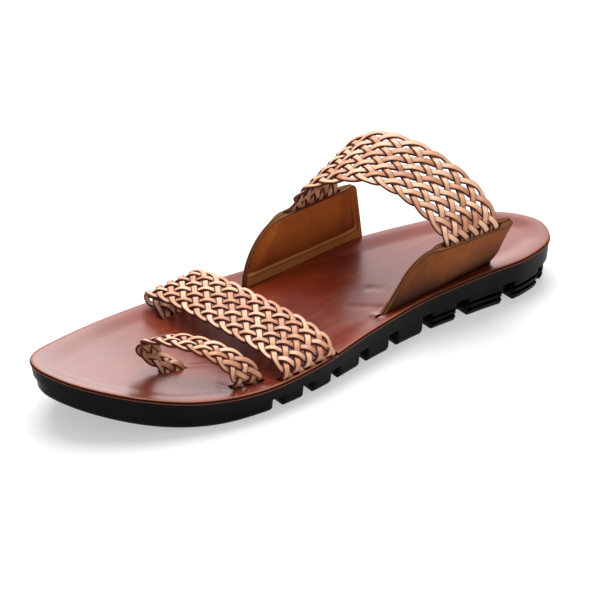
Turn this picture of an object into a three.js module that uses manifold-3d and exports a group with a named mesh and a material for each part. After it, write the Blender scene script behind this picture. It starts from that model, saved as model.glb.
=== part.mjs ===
// A man's slipper for the right foot: a black moulded sole, a leather-look footbed,
// a braided forefoot strap, a braided toe loop, and a braided instep strap held between leather tabs.
// Millimetres. x runs from the heel end to the toe, y to the inner (big-toe) side, z up from the floor.
import * as THREE from "three";
import { mergeVertices } from "three/addons/utils/BufferGeometryUtils.js";
import Module from "manifold-3d";

const wasm = await Module();
wasm.setup();

// Driving sizes
const LENGTH = 280;
const CENTRE_Y = -0.36; // middle of the whole width, straps included, moved to y = 0 at the end
const FOOTBED = 1.6; // thickness of the footbed cover
const FIT = 0.3; // clearance between pieces that meet
const DISH = 1; // how far the footbed sinks towards its middle
const DISH_INSET = 14; // width of the sloping border of that dish
const TOE_SPRING = 17; // height of the tread under the toe end
const SPRING_START = 205; // where the tread leaves the floor
const TAB = 1.2; // thickness of a tab's leather
const STRAND = 1.2; // thickness of one strand, so a crossing is twice that
const STRAND_DIP = 0.4; // half thickness of a braid where its strands pass each other

// Edge of the footbed seen from above, from the heel end to the toe end.
const OUTLINE = [
  { x: 0, inner: -1, outer: -1 },
  { x: 8, inner: 17, outer: -18 },
  { x: 28, inner: 26.5, outer: -29 },
  { x: 56, inner: 28, outer: -35.5 },
  { x: 90, inner: 30.5, outer: -40.5 },
  { x: 126, inner: 38, outer: -45 },
  { x: 162, inner: 47.5, outer: -49.5 },
  { x: 196, inner: 51, outer: -49.5 },
  { x: 224, inner: 47, outer: -43.5 },
  { x: 249, inner: 37, outer: -31.5 },
  { x: 269, inner: 22.5, outer: -18 },
  { x: 277, inner: 12, outer: -8.5 },
  { x: 280, inner: 2, outer: 2 },
];

// Height of the footbed's edge along the foot: raised heel, low ball, sprung toe.
const BED = [
  { x: 0, z: 22 },
  { x: 40, z: 21.5 },
  { x: 90, z: 19.5 },
  { x: 130, z: 17 },
  { x: 165, z: 14.5 },
  { x: 195, z: 13.5 },
  { x: 225, z: 15.5 },
  { x: 250, z: 20.5 },
  { x: 270, z: 26 },
  { x: 280, z: 29.5 },
];

// Side of the sole from tread to rim: share of its height, and how far it is set in from the edge.
const WALL = [
  { share: 0, inset: 4.2 },
  { share: 0.1, inset: 3.2 },
  { share: 0.52, inset: 2.6 },
  { share: 0.56, inset: 1.3 },
  { share: 1, inset: 0.6 },
];

// Channels between the side blocks: place along the foot, and width.
const CHANNELS = [
  { x: 184, width: 6 },
  { x: 166, width: 6 },
  { x: 148.5, width: 5 },
  { x: 129, width: 5 },
  { x: 109, width: 5.5 },
  { x: 87, width: 5.5 },
  { x: 66, width: 7 },
  { x: 38.5, width: 7 },
  { x: 12, width: 7 },
];
const CHANNEL_DEPTH = 7; // from the edge of the footbed into the wall
const CHANNEL_TOP = 0.54; // share of the wall's height
const GROOVE_DEPTH = 3; // of the grooves that join the channels underneath
const FIRST_RIBBED_CHANNEL = 5; // from here to the heel the blocks are ribbed
const RIB_GROOVES = [
  { low: 0.14, high: 0.2 },
  { low: 0.3, high: 0.36 },
];
const RIB_DEPTH = 4.6; // from the edge of the footbed to the bottom of a rib's groove
const OUTSIDE = -4; // an inset past the edge, where the cutters start

const SEGMENTS = 36; // steps along each side of the outline
const SAME_POINT = 1e-4; // corners nearer than this are one corner

// Outline and heights

const heelEnd = OUTLINE[0];
const toeEnd = OUTLINE[OUTLINE.length - 1];
const between = OUTLINE.slice(1, -1);
const outlineCurve = new THREE.CatmullRomCurve3(
  [
    new THREE.Vector3(heelEnd.x, heelEnd.inner, 0),
    ...between.map((row) => new THREE.Vector3(row.x, row.inner, 0)),
    new THREE.Vector3(toeEnd.x, toeEnd.inner, 0),
    ...between.map((row) => new THREE.Vector3(row.x, row.outer, 0)).reverse(),
  ],
  true,
  "centripetal",
);

const wrap = (u) => u - Math.floor(u);

// Point of the outline set in towards the middle. u is 0 at the heel end, 0.5 at the toe end.
function edgeAt(u, inset) {
  const step = 0.002;
  const along = outlineCurve.getPoint(wrap(u + step)).sub(outlineCurve.getPoint(wrap(u - step)));
  const inward = new THREE.Vector3(along.y, -along.x, 0).normalize();
  return outlineCurve.getPoint(wrap(u)).addScaledVector(inward, inset);
}

// Smooth height through the rows of a table, by cubic Hermite pieces.
function heightAt(rows, x) {
  const last = rows.length - 1;
  const k = Math.min(last - 1, Math.max(0, rows.findIndex((row) => row.x > x) - 1));
  const i = x >= rows[last].x ? last - 1 : k;
  const slope = (n) => {
    const before = rows[Math.max(0, n - 1)];
    const after = rows[Math.min(last, n + 1)];
    return (after.z - before.z) / (after.x - before.x);
  };
  const span = rows[i + 1].x - rows[i].x;
  const t = THREE.MathUtils.clamp((x - rows[i].x) / span, 0, 1);
  const t2 = t * t;
  const t3 = t2 * t;
  const fromValues = (2 * t3 - 3 * t2 + 1) * rows[i].z + (3 * t2 - 2 * t3) * rows[i + 1].z;
  const fromSlopes = (t3 - 2 * t2 + t) * slope(i) + (t3 - t2) * slope(i + 1);
  return fromValues + fromSlopes * span;
}

const bedAt = (x) => heightAt(BED, x);
const soleTopAt = (x) => bedAt(x) - FOOTBED - FIT;

function treadAt(x) {
  const sprung = Math.max(0, (x - SPRING_START) / (LENGTH - SPRING_START));
  return TOE_SPRING * sprung * sprung;
}

const wallAt = (x, share) => THREE.MathUtils.lerp(treadAt(x), soleTopAt(x), share);

// A point over the footbed, given by how far it rises above the footbed's edge.
const at = (x, y, rise) => new THREE.Vector3(x, y, bedAt(x) + rise);

// Closed solids from faces

class Faces {
  constructor() {
    this.points = [];
  }

  polygon(...corners) {
    const ring = corners.filter((p, i) => p.distanceTo(corners[(i + 1) % corners.length]) > SAME_POINT);
    for (let i = 1; i + 1 < ring.length; i++) {
      this.points.push(ring[0], ring[i], ring[i + 1]);
    }
  }

  geometry() {
    return new THREE.BufferGeometry().setFromPoints(this.points);
  }

  solid() {
    const merged = mergeVertices(this.geometry(), SAME_POINT);
    return new wasm.Manifold(
      new wasm.Mesh({
        numProp: 3,
        vertProperties: merged.attributes.position.array,
        triVerts: new Uint32Array(merged.index.array),
      }),
    );
  }
}

function geometryOf(solid) {
  const mesh = solid.getMesh();
  const geometry = new THREE.BufferGeometry();
  geometry.setAttribute("position", new THREE.BufferAttribute(mesh.vertProperties, 3));
  geometry.setIndex(new THREE.BufferAttribute(mesh.triVerts, 1));
  return geometry;
}

// Rings of the outline stacked from a bottom face to a top face.
function stackRings(levels) {
  const count = 2 * SEGMENTS;
  const rings = levels.map(({ inset, height }) =>
    Array.from({ length: count }, (_, k) => {
      const p = edgeAt(k / count, inset);
      return p.setZ(height(p.x));
    }),
  );
  const faces = new Faces();
  for (let level = 0; level + 1 < rings.length; level++) {
    const [low, high] = [rings[level], rings[level + 1]];
    for (let k = 0; k < count; k++) {
      const next = (k + 1) % count;
      faces.polygon(low[next], low[k], high[k], high[next]);
    }
  }
  const [bottom, top] = [rings[0], rings[rings.length - 1]];
  for (let k = 0; k < SEGMENTS; k++) {
    const [far, farNext] = [(count - k) % count, count - k - 1];
    faces.polygon(bottom[k], bottom[k + 1], bottom[farNext], bottom[far]);
    faces.polygon(top[far], top[farNext], top[k + 1], top[k]);
  }
  return faces.solid();
}

// A block that follows the outline from u = from to u = to, between two insets and two heights.
function belt({ from, to, inset, low, high, steps = 2 }) {
  const section = (k) => {
    const u = THREE.MathUtils.lerp(from, to, k / steps);
    const inside = edgeAt(u, inset);
    const outside = edgeAt(u, OUTSIDE);
    return [
      inside.clone().setZ(low(inside.x)),
      outside.clone().setZ(low(outside.x)),
      outside.clone().setZ(high(outside.x)),
      inside.clone().setZ(high(inside.x)),
    ];
  };
  return tube(Array.from({ length: steps + 1 }, (_, k) => section(k)));
}

// Four-sided sections joined end to end and closed at both ends.
function tube(sections) {
  const faces = new Faces();
  for (let k = 0; k + 1 < sections.length; k++) {
    for (let side = 0; side < 4; side++) {
      const next = (side + 1) % 4;
      faces.polygon(sections[k][next], sections[k][side], sections[k + 1][side], sections[k + 1][next]);
    }
  }
  faces.polygon(...sections[0]);
  faces.polygon(...sections[sections.length - 1].slice().reverse());
  return facingOut(faces);
}

// The solid of these faces, turned round where they face inwards.
function facingOut(faces) {
  const made = faces.solid();
  if (made.volume() > 0) return made;
  const turned = new Faces();
  for (let i = 0; i < faces.points.length; i += 3) {
    turned.points.push(faces.points[i], faces.points[i + 2], faces.points[i + 1]);
  }
  return turned.solid();
}

// Sole

// Place on the outline whose x is wanted, on the inner half (0 to 0.5) or the outer half (1 down to 0.5).
function outlinePlace(x, inner) {
  const halvings = 40;
  let [low, high] = [0, 0.5];
  for (let i = 0; i < halvings; i++) {
    const middle = (low + high) / 2;
    const p = outlineCurve.getPoint(inner ? middle : wrap(1 - middle));
    if (p.x < x) low = middle;
    else high = middle;
  }
  return inner ? low : 1 - low;
}

function soleCutters() {
  const cutters = [];
  const belowFloor = () => -1;
  for (const inner of [true, false]) {
    const edges = CHANNELS.map(({ x, width }) => ({
      front: outlinePlace(x + width / 2, inner),
      rear: outlinePlace(x - width / 2, inner),
    }));
    edges.forEach(({ front, rear }) => {
      const high = (x) => wallAt(x, CHANNEL_TOP);
      cutters.push(belt({ from: rear, to: front, inset: CHANNEL_DEPTH, low: belowFloor, high }));
    });
    const heel = inner ? 0 : 1;
    edges.slice(FIRST_RIBBED_CHANNEL).forEach(({ rear }, n, ribbed) => {
      const end = n + 1 < ribbed.length ? ribbed[n + 1].front : heel;
      RIB_GROOVES.forEach((groove) => {
        const low = (x) => wallAt(x, groove.low);
        const high = (x) => wallAt(x, groove.high);
        cutters.push(belt({ from: end, to: rear, inset: RIB_DEPTH, low, high, steps: 4 }));
      });
    });
  }
  CHANNELS.slice(0, -1).forEach(({ x, width }) => {
    const groove = new THREE.BoxGeometry(width, 2 * LENGTH, 2 * GROOVE_DEPTH).translate(x, 0, 0);
    cutters.push(solidFrom(groove));
  });
  return cutters;
}

function solidFrom(geometry) {
  const faces = new Faces();
  const loose = geometry.index ? geometry.toNonIndexed() : geometry;
  const position = loose.getAttribute("position");
  for (let i = 0; i < position.count; i++) {
    faces.points.push(new THREE.Vector3().fromBufferAttribute(position, i));
  }
  return faces.solid();
}

function outsole() {
  const walls = WALL.map(({ share, inset }) => ({ inset, height: (x) => wallAt(x, share) }));
  const seat = { inset: DISH_INSET, height: (x) => soleTopAt(x) - DISH };
  const block = stackRings([...walls, seat]);
  return soleCutters().reduce((body, cutter) => body.subtract(cutter), block);
}

// Braided straps

// A strap is a band between a front and a rear edge. s runs along it, w across it from front to rear.
// turn is 1 or -1, whichever makes the band's outside face away from the foot.
class Strap {
  constructor(rows, turn) {
    const curve = (points) => new THREE.CatmullRomCurve3(points, false, "centripetal");
    this.front = curve(rows.map((row) => row.front));
    this.rear = curve(rows.map((row) => row.rear));
    this.middle = curve(rows.map((row) => row.front.clone().lerp(row.rear, 0.5)));
    this.middle.arcLengthDivisions = 400;
    this.turn = turn;
  }

  surface(s, w) {
    const t = this.middle.getUtoTmapping(THREE.MathUtils.clamp(s, 0, 1));
    return this.front.getPoint(t).lerp(this.rear.getPoint(t), w);
  }

  // Point at a height over the middle of the band, measured square to it.
  point(s, w, height) {
    const step = 0.004;
    const along = this.surface(s + step, w).sub(this.surface(s - step, w));
    const across = this.surface(s, w + step).sub(this.surface(s, w - step));
    const normal = along.cross(across).normalize().multiplyScalar(this.turn);
    return this.surface(s, w).addScaledVector(normal, height);
  }
}

// A flat braid: rows of diamond cells. In each cell one strand arches over on the outside and the other
// arches under on the inside, and the strands on top lean one way in one row and the other way in the next.
// lean, 0 or 1, is the way in the first row. gap opens a hole between four cells, as a share of a side.
function braid(strap, { rows, cells, lean, gap = 0 }) {
  const faces = new Faces();
  const halfS = 1 / (2 * cells + 1);
  const halfW = 1 / (rows + 1);
  const present = (row, column) => row >= 0 && row < rows && column >= 0 && column < cells;
  const neighbourColumns = (row) => (row % 2 ? { left: 0, right: 1 } : { left: -1, right: 0 });

  for (let row = 0; row < rows; row++) {
    for (let column = 0; column < cells; column++) {
      const s = halfS * (1 + 2 * column + (row % 2));
      const w = halfW * (1 + row);
      const shift = neighbourColumns(row);
      const near = [
        present(row - 1, column + shift.left),
        present(row - 1, column + shift.right),
        present(row + 1, column + shift.right),
        present(row + 1, column + shift.left),
      ];
      const corners = [
        [s - halfS, w],
        [s, w - halfW],
        [s + halfS, w],
        [s, w + halfW],
      ];
      const beyond = [
        present(row, column - 1),
        present(row - 2, column),
        present(row, column + 1),
        present(row + 2, column),
      ];
      const open = corners.map((_, k) => gap > 0 && near[k] && near[(k + 3) % 4] && beyond[k]);
      cellFaces(faces, strap, { corners, near, open, gap, lean: (row + lean) % 2 });
    }
  }
  return facingOut(faces);
}

// Faces of one cell. Side k runs from corner k to corner k + 1, and the crests of the two strands
// end in the middle of opposite sides.
function cellFaces(faces, strap, { corners, near, open, gap, lean }) {
  const mix = (a, b, t) => [THREE.MathUtils.lerp(a[0], b[0], t), THREE.MathUtils.lerp(a[1], b[1], t)];
  const sides = corners.map((corner, k) => {
    const next = corners[(k + 1) % 4];
    return {
      start: mix(corner, next, open[k] ? gap : 0),
      end: mix(next, corner, open[(k + 1) % 4] ? gap : 0),
      crest: mix(corner, next, 0.5),
    };
  });
  const lift = ([s, w], height) => strap.point(s, w, height);
  const face = (points, reverse) => faces.polygon(...(reverse ? points.reverse() : points));

  for (const outward of [1, -1]) {
    const dip = outward * STRAND_DIP;
    const first = (outward > 0 ? 1 : 0) ^ lean; // first side that a crest ends on
    const crests = [sides[first].crest, sides[(first + 2) % 4].crest].map((p) => lift(p, outward * STRAND));
    for (const half of [0, 1]) {
      const a = (first + 2 * half) % 4;
      const b = (a + 1) % 4;
      const c = (a + 2) % 4;
      const slope = [
        crests[half],
        lift(sides[a].end, dip),
        lift(sides[b].start, dip),
        lift(sides[b].end, dip),
        lift(sides[c].start, dip),
        crests[1 - half],
      ];
      face(slope, outward < 0);
      const step = [lift(sides[a].start, dip), lift(sides[a].end, dip), crests[half]];
      face(step, outward < 0);
    }
  }
  const wall = (from, to) => {
    const lower = [lift(from, -STRAND_DIP), lift(to, -STRAND_DIP)];
    const upper = [lift(to, STRAND_DIP), lift(from, STRAND_DIP)];
    faces.polygon(...lower, ...upper);
  };
  sides.forEach((side, k) => {
    if (!near[k]) wall(side.start, side.end);
    if (open[k]) wall(sides[(k + 3) % 4].end, side.start);
  });
}

// The space that a strap's end takes, with clearance, used to cut its slit. end is 0 or 1.
function slit(strap, end) {
  const steps = 6;
  const reach = 0.1; // how much of the strap passes near the footbed, as a share of its length
  const over = 0.02; // past both edges, as a share of the width
  const half = STRAND + FIT;
  const sections = Array.from({ length: steps + 1 }, (_, k) => {
    const s = Math.abs(end - (reach * k) / steps);
    return [
      strap.point(s, -over, -half),
      strap.point(s, 1 + over, -half),
      strap.point(s, 1 + over, half),
      strap.point(s, -over, half),
    ];
  });
  const through = sections[0].map((p) => p.clone().setZ(p.z - FOOTBED));
  return tube([through, ...sections]);
}

// Rows of a strap that runs straight in plan: from a start point towards another, with a set width.
function planned({ start, towards, width }, folds) {
  const direction = new THREE.Vector2(...towards).sub(new THREE.Vector2(...start)).normalize();
  const half = width / 2;
  const ahead = new THREE.Vector2(-direction.y, direction.x).multiplyScalar(half);
  return folds.map(({ along, front, rear }) => {
    const p = new THREE.Vector2(...start).addScaledVector(direction, along);
    return {
      front: at(p.x + ahead.x, p.y + ahead.y, front),
      rear: at(p.x - ahead.x, p.y - ahead.y, rear),
    };
  });
}

// Row of a strap whose width points along a bearing, in degrees from x towards y.
function turned({ x, y, bearing, width, front, rear }) {
  const angle = THREE.MathUtils.degToRad(bearing);
  const ahead = new THREE.Vector2(Math.cos(angle), Math.sin(angle)).multiplyScalar(width / 2);
  return {
    front: at(x + ahead.x, y + ahead.y, front),
    rear: at(x - ahead.x, y - ahead.y, rear),
  };
}

const SLIT_END = -1.3; // how far a strap's end or a tab reaches below the footbed's edge
const DISHED_END = SLIT_END - DISH; // the same, for an end that stands in the dish
const BORDER_END = SLIT_END - DISH / 2; // and for an end that stands in its sloping border

// Forefoot strap, from its inner slit over the foot to the fold that tucks under at the outer edge.
const forefootStrap = new Strap(
  planned({ start: [167, 44.5], towards: [179, -50], width: 33 }, [
    { along: 0, front: SLIT_END, rear: SLIT_END },
    { along: -0.6, front: 2.5, rear: 2.8 },
    { along: 3, front: 5.5, rear: 6 },
    { along: 12, front: 7.8, rear: 8.5 },
    { along: 32, front: 8.8, rear: 9.8 },
    { along: 56, front: 8.8, rear: 9.8 },
    { along: 78, front: 8.2, rear: 9.2 },
    { along: 90, front: 6.8, rear: 7.6 },
    { along: 94.5, front: 4.6, rear: 5 },
    { along: 91.5, front: 2.4, rear: 2.4 },
    { along: 85, front: 1.6, rear: 1.6 },
    { along: 81, front: DISHED_END, rear: DISHED_END },
  ]),
  -1,
);

// Toe loop, from its inner slit over the big toe and back down through a second slit.
const toeLoop = new Strap(
  [
    { x: 196, y: 39.5, bearing: -8, width: 16, front: BORDER_END, rear: BORDER_END },
    { x: 197, y: 41.5, bearing: -8, width: 16, front: 2.5, rear: 2.5 },
    { x: 198.5, y: 41.3, bearing: -5, width: 16, front: 6.5, rear: 6.5 },
    { x: 203, y: 37, bearing: 2, width: 15.6, front: 11.5, rear: 11.5 },
    { x: 209, y: 29, bearing: 10, width: 15.6, front: 15, rear: 15 },
    { x: 216, y: 20.4, bearing: 14, width: 15.6, front: 16.3, rear: 16.3 },
    { x: 221.6, y: 12.8, bearing: 14, width: 15, front: 15.6, rear: 14.8 },
    { x: 225.6, y: 7, bearing: 12, width: 14.5, front: 12.4, rear: 10.8 },
    { x: 225.2, y: 6.4, bearing: 8, width: 14, front: 7.8, rear: 6.2 },
    { x: 221.5, y: 8.8, bearing: 3, width: 13.5, front: 3.8, rear: 2.8 },
    { x: 218, y: 11.5, bearing: 0, width: 13, front: 1.2, rear: 1.2 },
    { x: 216.5, y: 12.8, bearing: 0, width: 13, front: DISHED_END, rear: DISHED_END },
  ].map(turned),
  -1,
);

// Tabs

// Two layers of leather hold each end of the instep strap between them. u runs along a tab from front to
// rear, v from its base to its top. The corners say how far each top corner is rounded, along and down.
// held says where the strap's edges lie, at its end inside the tab and at the tab's top.
const INNER_TAB = {
  frontBase: at(115, 28.8, SLIT_END),
  rearBase: at(47, 18, SLIT_END),
  frontTop: at(95, 27.5, 21.5),
  rearTop: at(40, 29, 24.3),
  frontCorner: { along: 0.16, down: 0.35 },
  rearCorner: { along: 0.05, down: 0.15 },
  held: { end: { front: 0.44, rear: 0.9 }, top: { front: 0.29, rear: 0.83 } },
  outwards: 1,
};
const OUTER_TAB = {
  frontBase: at(148, -34.5, SLIT_END),
  rearBase: at(77, -40.5, SLIT_END),
  frontTop: at(146, -37.6, 26),
  rearTop: at(79.5, -42.5, 26.5),
  frontCorner: { along: 0.39, down: 1 },
  rearCorner: { along: 0.04, down: 0.1 },
  held: { end: { front: 0.21, rear: 0.81 }, top: { front: 0.39, rear: 0.84 } },
  outwards: -1,
};
const LAYER_AT_BASE = TAB / 2 + FIT / 2; // a layer's distance from the tab's middle, where the layers meet
const LAYER_AT_STRAP = TAB / 2 + STRAND + 2 * FIT; // and where the strap lies between them
const STRAP_END = 0.45; // v of the strap's end
const STRAP_START = 0.4; // v where the layers are fully apart, just below that end
const PINCH = { from: 0.04, to: 0.14 }; // how far past the strap's edges the layers come together, along u

function tabPoint({ frontBase, rearBase, frontTop, rearTop }, u, v) {
  const base = frontBase.clone().lerp(rearBase, u);
  const top = frontTop.clone().lerp(rearTop, u);
  return base.lerp(top, v);
}

function tabNormal(tab, u, v) {
  const step = 0.01;
  const along = tabPoint(tab, u + step, v).sub(tabPoint(tab, u - step, v));
  const up = tabPoint(tab, u, v + step).sub(tabPoint(tab, u, v - step));
  return along.cross(up).normalize();
}

// u at a share of the way from the front edge to the rear edge. Each top corner is a quarter ellipse.
function tabSpan({ frontCorner, rearCorner }, share, v) {
  const cutBack = ({ along, down }) => {
    const into = THREE.MathUtils.clamp((v - 1 + down) / down, 0, 1);
    return along * (1 - Math.sqrt(1 - into * into));
  };
  return THREE.MathUtils.lerp(cutBack(frontCorner), 1 - cutBack(rearCorner), share);
}

// Distance of a layer from the tab's middle: close at the base and the two ends, apart round the strap.
function layerDistance({ held }, u, v) {
  const { lerp, smoothstep } = THREE.MathUtils;
  const share = (v - STRAP_END) / (1 - STRAP_END);
  const ahead = lerp(held.end.front, held.top.front, share) - u;
  const behind = u - lerp(held.end.rear, held.top.rear, share);
  const pinched = smoothstep(Math.max(ahead, behind), PINCH.from, PINCH.to);
  return lerp(LAYER_AT_BASE, LAYER_AT_STRAP, smoothstep(v, 0, STRAP_START) * (1 - pinched));
}

// A sheet between two distances from the tab's middle, each a function of u and v.
// past and below are how far it reaches over the tab's ends and base, and top how high, as shares of the tab.
function tabSheet(tab, near, far, { past = 0, below = 0, top = 1 } = {}) {
  const [columns, rows] = [8, 6];
  const point = (i, j, distance) => {
    const v = THREE.MathUtils.lerp(-below, top, Math.sin(((Math.PI / 2) * j) / rows));
    const u = tabSpan(tab, THREE.MathUtils.lerp(-past, 1 + past, i / columns), v);
    return tabPoint(tab, u, v).addScaledVector(tabNormal(tab, u, v), distance(u, v));
  };
  const faces = new Faces();
  const patch = (i, j) => {
    const grid = (distance) => [
      point(i, j, distance),
      point(i + 1, j, distance),
      point(i + 1, j + 1, distance),
      point(i, j + 1, distance),
    ];
    faces.polygon(...grid(far));
    faces.polygon(...grid(near).reverse());
  };
  const border = (i, j, nextI, nextJ) => {
    faces.polygon(point(i, j, near), point(nextI, nextJ, near), point(nextI, nextJ, far), point(i, j, far));
  };
  for (let i = 0; i < columns; i++) {
    for (let j = 0; j < rows; j++) patch(i, j);
    border(i, 0, i + 1, 0);
    border(i + 1, rows, i, rows);
  }
  for (let j = 0; j < rows; j++) {
    border(0, j + 1, 0, j);
    border(columns, j, columns, j + 1);
  }
  return facingOut(faces);
}

function tabLayer(tab, side) {
  const middle = (u, v) => side * tab.outwards * layerDistance(tab, u, v);
  return tabSheet(tab, (u, v) => middle(u, v) - TAB / 2, (u, v) => middle(u, v) + TAB / 2);
}

function tabSlit(tab) {
  const half = (u, v) => layerDistance(tab, u, v) + TAB / 2 + FIT;
  return tabSheet(tab, (u, v) => -half(u, v), half, { past: 0.01, below: 0.1, top: STRAP_START });
}

// Instep strap, from between the outer tab's layers over the instep to the inner tab.
const instepStrap = new Strap(
  [
    { front: tabPoint(OUTER_TAB, 0.21, STRAP_END), rear: tabPoint(OUTER_TAB, 0.81, STRAP_END) },
    { front: tabPoint(OUTER_TAB, 0.3, 0.75), rear: tabPoint(OUTER_TAB, 0.82, 0.75) },
    { front: tabPoint(OUTER_TAB, 0.4, 1), rear: tabPoint(OUTER_TAB, 0.85, 1.1) },
    { front: at(115.5, -34.5, 36), rear: at(86, -40.5, 47) },
    { front: at(107.5, -20, 44), rear: at(77.5, -26, 59) },
    { front: at(99, -5.5, 47), rear: at(67.5, -9.5, 57) },
    { front: at(91, 7.5, 42.5), rear: at(58, 4.5, 49) },
    { front: at(84.5, 19, 34), rear: at(51, 18, 38.5) },
    { front: at(79.3, 27.7, 22.7), rear: at(49.3, 29.1, 25.7) },
    { front: tabPoint(INNER_TAB, 0.37, 0.75), rear: tabPoint(INNER_TAB, 0.86, 0.75) },
    { front: tabPoint(INNER_TAB, 0.44, STRAP_END), rear: tabPoint(INNER_TAB, 0.9, STRAP_END) },
  ],
  1,
);

// Footbed

// From the middle of its underside round its edge to the dished field on top: how far in from the edge,
// and how far below the edge's height. The edge is a thin lip, a groove, and a rounded cover above it.
const FOOTBED_SECTION = [
  { inset: DISH_INSET, drop: FOOTBED + DISH },
  { inset: 0.3, drop: FOOTBED },
  { inset: 0.1, drop: 1.2 },
  { inset: 1.1, drop: 1.1 },
  { inset: 1.1, drop: 0.65 },
  { inset: 0.4, drop: 0.5 },
  { inset: 0.9, drop: 0 },
  { inset: 3, drop: 0 },
  { inset: DISH_INSET, drop: DISH },
];

function footbed() {
  const rings = FOOTBED_SECTION.map(({ inset, drop }) => ({ inset, height: (x) => bedAt(x) - drop }));
  const slits = [
    slit(forefootStrap, 0),
    slit(forefootStrap, 1),
    slit(toeLoop, 0),
    slit(toeLoop, 1),
    tabSlit(INNER_TAB),
    tabSlit(OUTER_TAB),
  ];
  return slits.reduce((body, cut) => body.subtract(cut), stackRings(rings));
}

// Assembly

const rubber = new THREE.MeshStandardMaterial({ color: 0x120f12, roughness: 0.6, metalness: 0 });
const footbedLeather = new THREE.MeshStandardMaterial({ color: 0x7a3520, roughness: 0.35, metalness: 0 });
const strapLeather = new THREE.MeshStandardMaterial({ color: 0xd2a07e, roughness: 0.55, metalness: 0 });
const tabLeather = new THREE.MeshStandardMaterial({ color: 0x77431f, roughness: 0.7, metalness: 0 });

const forefootBraid = braid(forefootStrap, { rows: 9, cells: 13, lean: 1 });
const toeBraid = braid(toeLoop, { rows: 4, cells: 10, lean: 1 });
const instepBraid = braid(instepStrap, { rows: 10, cells: 13, lean: 0, gap: 0.22 });

const PIECES = [
  { name: "outsole", solid: outsole(), material: rubber },
  { name: "footbed", solid: footbed(), material: footbedLeather },
  { name: "forefoot_strap", solid: forefootBraid, material: strapLeather },
  { name: "toe_loop", solid: toeBraid, material: strapLeather },
  { name: "instep_strap", solid: instepBraid, material: strapLeather },
  { name: "inner_tab", solid: tabLayer(INNER_TAB, 1), material: tabLeather },
  { name: "inner_lining", solid: tabLayer(INNER_TAB, -1), material: tabLeather },
  { name: "outer_tab", solid: tabLayer(OUTER_TAB, 1), material: tabLeather },
  { name: "outer_lining", solid: tabLayer(OUTER_TAB, -1), material: tabLeather },
];

const slipper = new THREE.Group();
for (const { name, solid, material } of PIECES) {
  const mesh = new THREE.Mesh(geometryOf(solid), material);
  mesh.name = name;
  slipper.add(mesh);
}
slipper.position.set(-LENGTH / 2, -CENTRE_Y, 0);

export default slipper;
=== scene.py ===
# %% [markdown]
# # A braided slipper for the right foot
# The slipper is a black moulded sole, a leather-look footbed, and an upper of three braided straps.
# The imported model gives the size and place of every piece. This lesson dresses each piece: it works the
# surface out again on a finer grid, from the same sizes, and gives it the finish of the real material.

# %% Load the frame
import math

import bpy
import numpy as np
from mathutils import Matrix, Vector


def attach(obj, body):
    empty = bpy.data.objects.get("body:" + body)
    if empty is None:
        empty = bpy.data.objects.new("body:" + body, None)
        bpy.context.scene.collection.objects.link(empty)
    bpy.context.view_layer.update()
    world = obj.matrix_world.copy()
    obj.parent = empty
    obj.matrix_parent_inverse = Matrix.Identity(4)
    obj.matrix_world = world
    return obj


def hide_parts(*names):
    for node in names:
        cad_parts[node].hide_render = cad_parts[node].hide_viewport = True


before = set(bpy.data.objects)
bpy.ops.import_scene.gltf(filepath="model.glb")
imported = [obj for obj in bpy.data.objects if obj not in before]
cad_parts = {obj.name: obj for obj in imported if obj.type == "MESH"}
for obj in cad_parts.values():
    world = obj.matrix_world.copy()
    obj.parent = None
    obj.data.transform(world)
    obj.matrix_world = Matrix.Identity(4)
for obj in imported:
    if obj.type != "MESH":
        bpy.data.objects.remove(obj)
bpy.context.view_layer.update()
print("nodes", sorted(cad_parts))

# %% [markdown]
# ## Sizes that several pieces share
# A shoemaker works in millimetres from the heel end of the sole, so the tables below do too.
# One function moves points into Blender's metres and to the frame's origin under the middle of the slipper.

# %% Shared sizes
LENGTH = 280.0
CENTRE_Y = -0.36
FOOTBED = 1.6
FIT = 0.3
DISH = 1.0
DISH_INSET = 14.0
TOE_SPRING = 17.0
SPRING_START = 205.0


def to_frame(points):
    """Metres in the frame, from millimetres that are measured from the heel end."""
    return (np.asarray(points, float) - (LENGTH / 2, CENTRE_Y, 0)) / 1000


def from_frame(points):
    """The same the other way round."""
    return 1000 * points + (LENGTH / 2, CENTRE_Y, 0)


# %% [markdown]
# ## Putting arrays into meshes
# A mesh is a list of points and a list of faces. Numpy works out both as whole arrays, which is far quicker
# than making vertices one by one. Every piece is closed, so its volume tells whether its faces point
# outwards. A mesh can also carry attributes, a number for each point, which a finish reads later.

# %% Mesh helpers
def facing_out(points, faces):
    """Faces, all turned round if the volume inside them, a sum of corner triple products, is negative."""
    fans = [(face[0], face[k], face[k + 1]) for face in faces for k in range(1, len(face) - 1)]
    a, b, c = np.asarray(points)[np.array(fans)].transpose(1, 0, 2)
    volume = np.einsum("ij,ij->i", a, np.cross(b, c)).sum() / 6
    return faces if volume > 0 else [tuple(reversed(face)) for face in faces]


def give_numbers(mesh, numbers):
    """Attributes by name, each with a value for every point."""
    for label, values in numbers.items():
        attribute = mesh.attributes.new(label, "FLOAT", "POINT")
        attribute.data.foreach_set("value", np.asarray(values, np.float32).ravel())


def smooth_but_for(mesh, sharp):
    """Smooth shading, with a crisp line where faces meet at more than sharp degrees."""
    mesh.shade_smooth()
    mesh.set_sharp_from_angle(angle=math.radians(sharp))


def new_object(name, data):
    """An object in the scene, for a mesh, a lamp or a camera."""
    made = bpy.data.objects.new(name, data)
    bpy.context.scene.collection.objects.link(made)
    return made


def mesh_piece(name, points, faces, numbers=None, sharp=35):
    """An object at the origin, from points in millimetres."""
    mesh = bpy.data.meshes.new(name)
    mesh.from_pydata(to_frame(points).tolist(), [], facing_out(points, faces))
    give_numbers(mesh, numbers or {})
    smooth_but_for(mesh, sharp)
    return new_object(name, mesh)


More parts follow.
